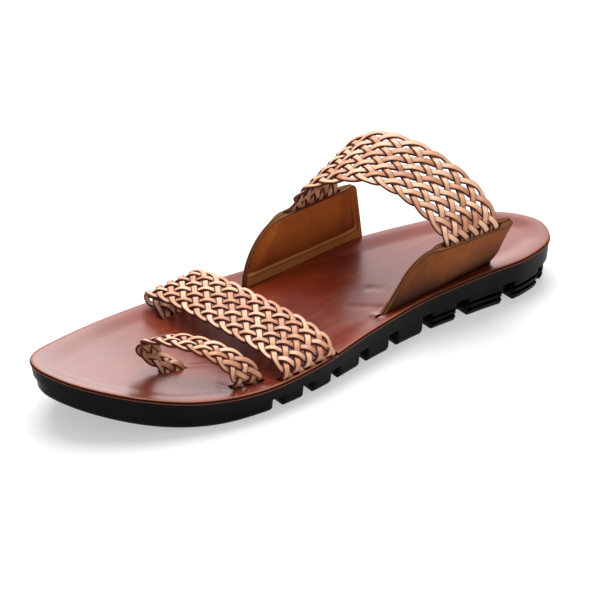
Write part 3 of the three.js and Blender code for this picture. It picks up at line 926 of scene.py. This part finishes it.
# %% Make the footbed
footbed_loop = Loop(rounded_spacing(FOOTBED_LINES))
points, faces = footbed_loop.body(footbed_rings(footbed_loop), across=52)
on_top = bed_at(points[:, 0]) - points[:, 2] < (FOOTBED + DISH) / 2
points[:, 2] += crease_height(points[:, 0], points[:, 1]) * on_top
footbed = mesh_piece("footbed_cover", points, faces)
slits = [strap_cutter(band, end) for band in (forefoot_band, toe_band) for end in (0, 1)]
cut(footbed, slits + [tab_cutter(inner_tab, ahead=0.075), tab_cutter(outer_tab, ahead=0.03)])

flat = np.empty(3 * len(footbed.data.vertices), np.float32)
footbed.data.vertices.foreach_get("co", flat)
places = from_frame(flat.reshape(-1, 3))
give_numbers(footbed.data, {"inset": from_edge(places), "drop": bed_at(places[:, 0]) - places[:, 2]})
smooth_but_for(footbed.data, sharp=40)
dress(footbed, "footbed", footbed_leather())

# %% [markdown]
# ## The strips of the braids
# The strips are smooth pale leather with dark cut edges. Each strip carries two attributes: how far across
# it a point lies, and a number of its own. By the first the face turns darker towards the sides, as painted
# shade, and the edges turn dark, partly their own cut edge and partly painted shade. The second makes
# neighbouring strips differ a little in tone.

# %% Strip finish
def strip_leather():
    finish = Finish("strip_leather", {"IOR": 1.48, "Coat Weight": 0.12, "Coat Roughness": 0.3})
    tan, cream = shade("ca8a64"), shade("f4c09c")
    side_shade_brown, cut_edge_and_shade_brown = shade("a05a38"), shade("561b0c")
    place = finish.place()
    across, tone = finish.number("across"), finish.number("tone")
    clouds = finish.noise(place, scale=90, detail=4)
    grain = finish.noise(place, scale=1300, detail=3, roughness=0.6)
    face = finish.mix(finish.mask(clouds + 0.5 * tone, 0.45, 1.05), tan, cream)
    edge = finish.mask(across, 0.62, 0.84)
    # painted shade: the face darkens towards both sides of the strip
    colour = finish.mix(0.45 * finish.mask(across, 0.45, 0.85), face, side_shade_brown)
    # the dark edge: the strip's own cut edge, widened by painted shade
    colour = finish.mix(edge, colour, cut_edge_and_shade_brown)
    relief = finish.bump(grain, depth=0.00007, strength=0.4)
    return finish.feed(Base_Color=colour, Roughness=0.4 + 0.12 * clouds + 0.2 * edge, Normal=relief)


# %% [markdown]
# ## Braiding
# In a flat braid every strip runs slantwise to an edge, turns and slants back, so seen flat it is a triangle
# wave with rounded corners. It passes over one strip and under the next, so its height is a wave with one
# beat for each crossing. The strips differ only by their start, which means one array can hold them all. No
# hand works quite evenly, so a slow drift of its own lifts and twists each strip a little.

# %% Braid surface
TURN_NARROWING = 0.3
SWING = 0.8
DRIFT = 0.12
DRIFT_SPEED = (0.7, 1.3)
DRIFT_START = (0, 6)
DRIFT_LIFT = 0.4
DRIFT_TWIST = 0.35


def strip_wave(place, rows):
    """w as a count of crossings from the front edge, height from -1 to 1, and how far a strip is into a
    turn. The triangle wave has a parabola at each turn. The height is a cosine that changes sign at a turn,
    where half a sine joins the two."""
    turns = rows + 1
    x = place % (2 * turns)
    rising = x < turns
    m = np.where(rising, x, 2 * turns - x)
    from_front = (x + turns) % (2 * turns) - turns
    from_rear = x - turns
    height = np.where(rising, 1, -1) * np.cos(math.pi * m)
    height = np.where(np.abs(from_front) < 1, -np.sin(math.pi * from_front / 2), height)
    height = np.where(np.abs(from_rear) < 1, -np.sin(math.pi * from_rear / 2), height)
    m = np.where(np.abs(from_front) < 1, from_front**2 / 2 + 0.5, m)
    m = np.where(np.abs(from_rear) < 1, turns - from_rear**2 / 2 - 0.5, m)
    turning = np.clip(1 - np.minimum(np.abs(from_front), np.abs(from_rear)), 0, 1)
    return m, height, turning


def slab(corners=16, wide=0.5, tall=0.7):
    """Section of a strip, one unit to each side: cosines and sines raised to powers below one, which makes a
    rounded box of a circle."""
    angle = np.linspace(0, 2 * math.pi, corners, endpoint=False) + math.pi / corners
    c, s = np.cos(angle), np.sin(angle)
    return np.sign(c) * np.abs(c) ** wide, np.sign(s) * np.abs(s) ** tall


def braid(name, band, rows, cells, lean, width, thick=1.4, beat=10, seed=1):
    """All strips of one strap: a slab carried along each strip's path, which follows the band and swings to
    either side of it by a little over half a strip's thickness. lean, 1 or -1, says which way the strips on
    top run in the first row."""
    strips, length = rows + 1, 2 * cells + 1
    place = np.linspace(0, length, length * beat + 1)
    crossing, height, turning = strip_wave(place - 2 * np.arange(strips)[:, None], rows)
    w = crossing / strips
    height = lean * height
    half_width = width / 2 * (1 - TURN_NARROWING * smooth_step(turning, 0, 1))
    s = np.broadcast_to(place / length, w.shape)
    chance = np.random.default_rng(seed)
    tone = chance.uniform(0, 1, (strips, 1))
    speed = chance.uniform(*DRIFT_SPEED, (strips, 1))
    start = chance.uniform(*DRIFT_START, (strips, 1))
    drift = DRIFT * np.sin(place * speed + start)
    path = band.point(s, w, SWING * height + DRIFT_LIFT * drift)
    along = unit(np.gradient(path, axis=1))
    square = band.normal(s, w)
    square = unit(square - along * (square * along).sum(axis=-1, keepdims=True))
    across = np.cross(square, along)
    twist = DRIFT_TWIST * drift[..., None]
    square, across = square + across * twist, across - square * twist

    b, n = slab()
    sections = path[:, :, None] + half_width[..., None, None] * across[:, :, None] * b[:, None]
    sections = sections + (thick / 2) * square[:, :, None] * n[:, None]
    count, corners = sections.shape[1:3]
    faces = []
    for strip in range(strips):
        index = strip * count * corners + np.arange(count * corners).reshape(count, corners)
        faces += tube_faces(index)
    full = (strips, count, corners)
    numbers = {"across": np.broadcast_to(np.abs(b), full), "tone": np.broadcast_to(tone[..., None], full)}
    return mesh_piece(name, sections.reshape(-1, 3), faces, numbers, sharp=60)


# %% Make the three braids
leather = strip_leather()
forefoot = braid("forefoot_braid", forefoot_band, rows=9, cells=13, lean=-1, width=3.2, seed=3)
toe = braid("toe_braid", toe_band, rows=4, cells=10, lean=-1, width=2.9, seed=5)
instep = braid("instep_braid", instep_band, rows=10, cells=13, lean=1, width=3.1, seed=7)
dress(forefoot, "forefoot_strap", leather)
dress(toe, "toe_loop", leather)
dress(instep, "instep_strap", leather)

# %% [markdown]
# ## The leather of the tabs
# The tabs are fine suede: dull, with a soft nap and a paler bloom at a grazing angle, which the shader's
# sheen gives. Painted shade darkens them towards the base, and their cut edges are painted. The hems are
# paler, above all along the base, with a painted highlight on a ridge between two lines of painted shade.
# The mesh carries three attributes for that: the distance from the edge, the rise from the base as a share,
# and the distance across a hem.

# %% Tab finish
# millimetres across a hem, and in from the edge
HEM_END = (3.6, 4.4)
# the next three: a line of painted shade in the hem's groove, a painted highlight on its ridge, and a line
# of painted shade past its raised edge
HEM_GROOVE_SHADE = (1.9, 2.3, 2.5, 2.9)
HEM_PAINTED_HIGHLIGHT = (2.9, 3.3, 3.9, 4.3)
HEM_FOLD_SHADE = (4.1, 4.5, 4.7, 5.6)
EDGE_PAINT = (0.35, 0.7)
EDGE_RIM = (0.1, 0.25)


def tab_suede(name, dark, light, base):
    """dark and light are the tones of the nap, and base is painted shade at the foot and on hem lines."""
    bloom = {"Sheen Weight": 0.04, "Sheen Roughness": 0.45, "Sheen Tint": shade("e0a060")}
    finish = Finish(name, {**bloom, "Specular IOR Level": 0.2})
    nap_tan, hem_tan, painted_highlight_tan = shade("a06a38"), shade("b87c42"), shade("c08a4c")
    paint_brown, rim_brown = shade("4a2410"), shade("6b4020")
    place = finish.place()
    edge, rise, hem = (finish.number(label) for label in ("edge", "rise", "hem"))
    clouds = finish.noise(place, scale=45, detail=5, roughness=0.6)
    nap = finish.noise(place, scale=1600, detail=3, roughness=0.7)
    face = finish.mix(finish.mask(clouds, 0.3, 0.72), dark, light)
    face = finish.mix(0.22 * finish.mask(nap, 0.4, 0.7), face, nap_tan)
    # painted shade: the face turns darker towards the base, where the tab leans out over the footbed
    face = finish.mix(0.85 - 0.85 * finish.mask(rise, 0.08, 0.8), face, base)
    low = 1 - 0.65 * finish.mask(rise, 0.15, 0.4)
    face = finish.mix(low * (0.8 - 0.8 * finish.mask(hem, *HEM_END)), face, hem_tan)
    # painted highlight on the hem's raised ridge
    face = finish.mix(0.6 * low * finish.line(hem, *HEM_PAINTED_HIGHLIGHT), face, painted_highlight_tan)
    # painted shade: dark lines in the hem's groove and just past its raised edge
    lines = 0.75 * finish.line(hem, *HEM_GROOVE_SHADE) + 0.6 * finish.line(hem, *HEM_FOLD_SHADE)
    face = finish.mix(low * lines, face, base)
    colour = finish.mix(1 - finish.mask(edge, *EDGE_PAINT), face, paint_brown)
    colour = finish.mix(1 - finish.mask(edge, *EDGE_RIM), colour, rim_brown)
    relief = finish.bump(nap, depth=0.00012, strength=0.5)
    return finish.feed(Base_Color=colour, Roughness=0.72 + 0.15 * clouds, Normal=relief)


# %% [markdown]
# ## The tabs
# Each layer is a sheet with rounded edges: two faces on either side of the patch, closed round the border.
# The linings have hems that stand a little proud, along the base and down the rear edge.

# %% Tab surface
TAB_COLUMNS = 60
TAB_ROWS = 36
HEM_FOOT = 2.5
HEM_WIDTH = 4.2
HEM_EDGE = 0.8
HEM_RISE = 0.55
NO_HEM = 100.0
EDGE_ROUND = 0.5
EDGE_LEAST = 0.05
# shares of the tab
EDGE_STEPS = np.array([0, 0.002, 0.005, 0.01])
FIRST_STEP = 0.018
GLUE = (0.008, 0.03)


def close_at_ends(count):
    """Shares from 0 to 1 with four close steps at either end, where the edge is rounded."""
    plain = np.linspace(FIRST_STEP, 1 - FIRST_STEP, count)
    return np.concatenate([EDGE_STEPS, plain, 1 - EDGE_STEPS[::-1]])


def border_distance(grid):
    """Distance of each grid point from the nearest point of the grid's border."""
    border = np.concatenate([grid[0], grid[-1], grid[:, 0], grid[:, -1]])
    apart = np.linalg.norm(grid.reshape(-1, 1, 3) - border, axis=2)
    return apart.min(axis=1).reshape(grid.shape[:2])


def tab_layer(name, tab, side, hems):
    """The distance to the border says where the edge is. The faces fall off at the edge as a quarter circle,
    and the foot's side of a hem is raised by a smooth step. Past the strap the layers are glued: their near
    faces close up. side is 1 for the outside layer and -1 for the lining, and hems is 1 or 0."""
    t, rise = np.meshgrid(close_at_ends(TAB_COLUMNS), close_at_ends(TAB_ROWS), indexing="ij")
    v = np.sin(math.pi / 2 * rise)
    u = tab.span(t, v)
    middle, square = tab.point(u, v), tab.normal(u, v)
    edge = border_distance(middle)
    long = np.linalg.norm(tab.point(0, 0.5) - tab.point(1, 0.5))
    high = np.linalg.norm(tab.point(0.5, 0) - tab.point(0.5, 1))
    round_off = np.sqrt(1 - (1 - np.clip(edge / EDGE_ROUND, EDGE_LEAST, 1)) ** 2)
    outwards = side * tab.outwards
    glued = smooth_step(tab.past_strap(u, v), *GLUE)
    far = tab.layer(u, v) + TAB / 2
    near = (far - TAB) * (1 - glued) + (LAYER_AT_BASE - TAB / 2) * glued
    half = (far - near) / 2 - TAB / 2 * (1 - round_off)
    centre = outwards * (far + near) / 2
    hem = np.minimum((1 - u) * long, v * high - HEM_FOOT) + NO_HEM * (1 - hems)
    raised = HEM_RISE * (1 - smooth_step(hem, HEM_WIDTH - HEM_EDGE, HEM_WIDTH)) * round_off
    foot_side = -tab.outwards
    above = centre + half + (raised if foot_side > 0 else 0)
    below = centre - half - (raised if foot_side < 0 else 0)
    points = np.concatenate([(middle + square * d[..., None]).reshape(-1, 3) for d in (above, below)])
    top = np.arange(u.size).reshape(u.shape)
    under = top + u.size
    border = np.concatenate([top[:-1, 0], top[-1, :-1], top[:0:-1, -1], top[0, :0:-1]])
    faces = grid_faces(top).tolist() + grid_faces(under)[:, ::-1].tolist()
    faces += grid_faces(np.stack([border + u.size, border]), wrap=True).tolist()
    values = {"edge": edge, "rise": v, "hem": hem}
    numbers = {label: np.tile(value.ravel(), 2) for label, value in values.items()}
    return mesh_piece(name, points, faces, numbers, sharp=50)


# %% Make the four layers
# the last tone of each is the painted shade at the tab's foot
outside = tab_suede("tab_suede", shade("6e3312"), shade("8c4c1e"), shade("240b04"))
lining = tab_suede("lining_suede", shade("9a4914"), shade("ba6526"), shade("76300d"))
dress(tab_layer("inner_tab_leather", inner_tab, side=1, hems=0), "inner_tab", outside)
dress(tab_layer("inner_tab_lining", inner_tab, side=-1, hems=1), "inner_lining", lining)
dress(tab_layer("outer_tab_leather", outer_tab, side=1, hems=0), "outer_tab", outside)
dress(tab_layer("outer_tab_lining", outer_tab, side=-1, hems=1), "outer_lining", lining)

# %% [markdown]
# ## Floor, light and camera
# A pale floor and a bright, even room suit a shop photograph. The floor glows a little, so it stays pale and
# its shadows soft. One broad light above the far side gives the strips their highlights, and one low behind
# the slipper is what the gloss of the footbed mirrors.

# %% Floor
def pale_floor(half=3.0):
    """A square that reaches half metres from the origin each way."""
    corners = [(-half, -half, 0), (half, -half, 0), (half, half, 0), (-half, half, 0)]
    mesh = bpy.data.meshes.new("floor")
    mesh.from_pydata(corners, [], [(0, 1, 2, 3)])
    floor = new_object("floor", mesh)
    finish = Finish("floor_paint", {
        "Base Color": (0.5, 0.5, 0.5, 1),
        "Roughness": 0.7,
        "Specular IOR Level": 0.2,
        "Emission Color": (1, 1, 1, 1),
        "Emission Strength": 0.45,
    })
    mesh.materials.append(finish.material)


pale_floor()

# %% Light
LIGHT_AIM = (0, 0, 0.02)


def soft_light(name, place, size, power):
    """A round lamp that faces the middle of the slipper."""
    lamp = bpy.data.lights.new(name, "AREA")
    lamp.shape, lamp.size, lamp.energy = "DISK", size, power
    holder = new_object(name, lamp)
    holder.location = place
    holder.rotation_euler = (Vector(LIGHT_AIM) - Vector(place)).to_track_quat("-Z", "Y").to_euler()


room = bpy.data.worlds.new("room")
room.use_nodes = True
backdrop = room.node_tree.nodes["Background"]
backdrop.inputs["Color"].default_value = (1, 1, 1, 1)
backdrop.inputs["Strength"].default_value = 0.5
bpy.context.scene.world = room
soft_light("key", (-0.15, -0.42, 1.25), size=1.2, power=22)
soft_light("back", (-1.1, -1.4, 0.56), size=1.15, power=8.2)
print("lamps", [lamp.name for lamp in bpy.data.lights])
bpy.context.scene.view_settings.view_transform = "Standard"

# %% Camera
AZIMUTH, ELEVATION, DISTANCE = 145.3, 27.3, 1.4255
AIM = (0.0, 0.0004, 0.0204)
ZOOM = 1.6
LENS = 117.5
SENSOR = 36


def set_camera():
    """The camera stands at an azimuth and elevation round the aim. Its long lens frames the one slipper."""
    turn, tilt = math.radians(AZIMUTH), math.radians(ELEVATION)
    back = Vector((math.sin(turn) * math.cos(tilt), -math.cos(turn) * math.cos(tilt), math.sin(tilt)))
    data = bpy.data.cameras.new("camera")
    data.sensor_width, data.lens = SENSOR, LENS * ZOOM
    camera = new_object("camera", data)
    camera.location = Vector(AIM) + back * DISTANCE
    camera.rotation_euler = (-back).to_track_quat("-Z", "Y").to_euler()
    bpy.context.scene.camera = camera


set_camera()
print("camera at", [round(part, 2) for part in bpy.context.scene.camera.location], "m")
